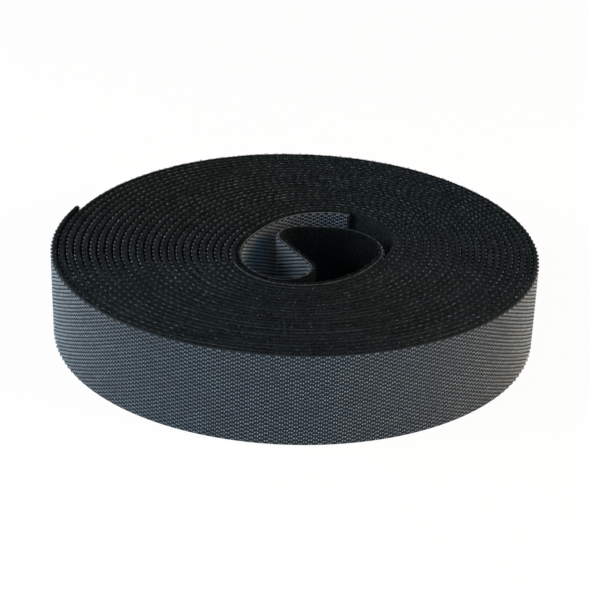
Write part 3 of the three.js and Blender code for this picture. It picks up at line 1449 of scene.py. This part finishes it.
@dataclass(frozen=True)
class Studio:
    """White floor, soft light and the camera at the photograph's angle."""

    centre: Vector
    elevation: float = 26.207
    distance: float = 0.356918
    focal_pixels: float = 1613.627
    roll: float = 1.788
    offset_pixels: Point2 = (1.046, -12.467)
    sensor_width: float = 36.0
    clip: Point2 = (0.01, 20.0)
    floor_side: float = 6.0
    floor_grey: float = 0.9
    floor_roughness: float = 0.9
    white_share: float = 0.94
    world_colour: Colour = (0.9, 0.96, 1.0)
    world_strength: float = 0.18
    lamps: tuple[Lamp, ...] = (
        Lamp("left_box", (-0.67, -0.14, 0.2), 0.5, 8.9, (1.0, 0.985, 0.96)),
        Lamp("right_box", (0.65, -0.14, 0.2), 0.45, 8.5, (1.0, 0.65, 0.36)),
        Lamp("front_box", (0.26, -0.68, 0.42), 0.6, 3.8, (0.58, 0.82, 1.0)),
    )

    def build(self) -> None:
        """Makes camera, floor, world and lamps, with plain view settings."""
        bpy.context.scene.view_settings.view_transform = "Standard"
        self._camera()
        self._floor()
        self._world()
        for lamp in self.lamps:
            lamp.build(self.centre)

    def _camera(self) -> None:
        """Makes the camera."""
        data = bpy.data.cameras.new("camera")
        data.sensor_width = self.sensor_width
        data.lens = self.focal_pixels / IMAGE_SIDE * data.sensor_width
        data.shift_x = -self.offset_pixels[0] / IMAGE_SIDE
        data.shift_y = self.offset_pixels[1] / IMAGE_SIDE
        data.clip_start, data.clip_end = self.clip
        camera = bpy.data.objects.new("camera", data)
        rise = math.radians(self.elevation)
        back = Vector((0.0, -math.cos(rise), math.sin(rise)))
        turn = (-back).to_track_quat("-Z", "Y").to_matrix()
        turn = turn @ Matrix.Rotation(math.radians(self.roll), 3, "Z")
        camera.matrix_world = Matrix.Translation(self.centre + back * self.distance) @ turn.to_4x4()
        bpy.context.scene.collection.objects.link(camera)
        bpy.context.scene.camera = camera

    def _seen(self, nodes: NodeMaker) -> Socket:
        """Tells rays that show the background itself, straight, mirrored or through glass.

        Args:
            nodes: maker of the tree that asks.

        Returns:
            1 for such a ray, and 0 for any other.
        """
        path = nodes.add("ShaderNodeLightPath").outputs
        total = path["Is Camera Ray"]
        for label in ("Is Glossy Ray", "Is Transmission Ray"):
            total = nodes.reckon("MAXIMUM", total, path[label])
        return total

    def _floor(self) -> None:
        """Makes the floor: nearly white where it is seen, with a trace of the roll's soft shadow."""
        side = self.floor_side / 2
        mesh = bpy.data.meshes.new("floor")
        corners = [(-side, -side, 0), (side, -side, 0), (side, side, 0), (-side, side, 0)]
        mesh.from_pydata(corners, [], [(0, 1, 2, 3)])
        floor = bpy.data.objects.new("floor", mesh)
        bpy.context.scene.collection.objects.link(floor)
        nodes = FinishNodes("pale_floor")
        mesh.materials.append(nodes.finish((*[self.floor_grey] * 3, 1.0), self.floor_roughness, 0.0))
        glow = nodes.get("ShaderNodeEmission", {"Color": WHITE, "Strength": 1.0})
        share = nodes.times(self._seen(nodes), self.white_share)
        mix = nodes.get("ShaderNodeMixShader", {0: share, 1: nodes.shader.outputs[0], 2: glow})
        nodes.feed(nodes.tree.nodes["Material Output"].inputs["Surface"], mix)

    def _world(self) -> None:
        """Makes the world: even soft light, white where it is seen."""
        world = bpy.data.worlds.new("studio")
        world.use_nodes = True
        bpy.context.scene.world = world
        nodes = NodeMaker(world.node_tree)
        light = world.node_tree.nodes["Background"]
        nodes.feed(light.inputs["Color"], (*self.world_colour, 1.0))
        nodes.feed(light.inputs["Strength"], self.world_strength)
        white = nodes.get("ShaderNodeBackground", {"Color": WHITE, "Strength": 1.0})
        feeds = {0: self._seen(nodes), 1: light.outputs[0], 2: white}
        mix = nodes.get("ShaderNodeMixShader", feeds)
        nodes.feed(world.node_tree.nodes["World Output"].inputs["Surface"], mix)


def main() -> None:
    """Builds the roll, its free ends and the studio."""
    logging.basicConfig(level=logging.INFO, format="%(name)s: %(message)s")
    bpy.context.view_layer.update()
    peel = next(j for j in frame["joints"] if j["name"] == "outer_end_peel")
    route = TapeRoute(Vector(peel["pos_m"]))
    LOG.info("tape of %.0f mm on %.2f turns", route.lengths[-1], route.turns)
    maker = TapeMaker(route)
    Studio(route.origin + Vector((0.0, 0.0, maker.section.width / 2 * MM))).build()
    Winding(maker).build()
    outer = (Body.OUTER_END, Mark.OUTER_ROOT, Mark.TIP)
    inner = (Body.INNER_END, Mark.INNER_ROOT, Mark.CUT_END)
    # Painted shade on the ends' film faces, strongest on the inner end, with pale patches on their slit
    # edges.
    FreeEnd(maker, *outer, reach=11.0, film_shade_and_pale_rim=0.05, nap_tone=0.2).build()
    FreeEnd(maker, *inner, reach=8.0, film_shade_and_pale_rim=0.65, nap_tone=0.0).build()
    maker.clear()


if __name__ == "__main__":
    main()
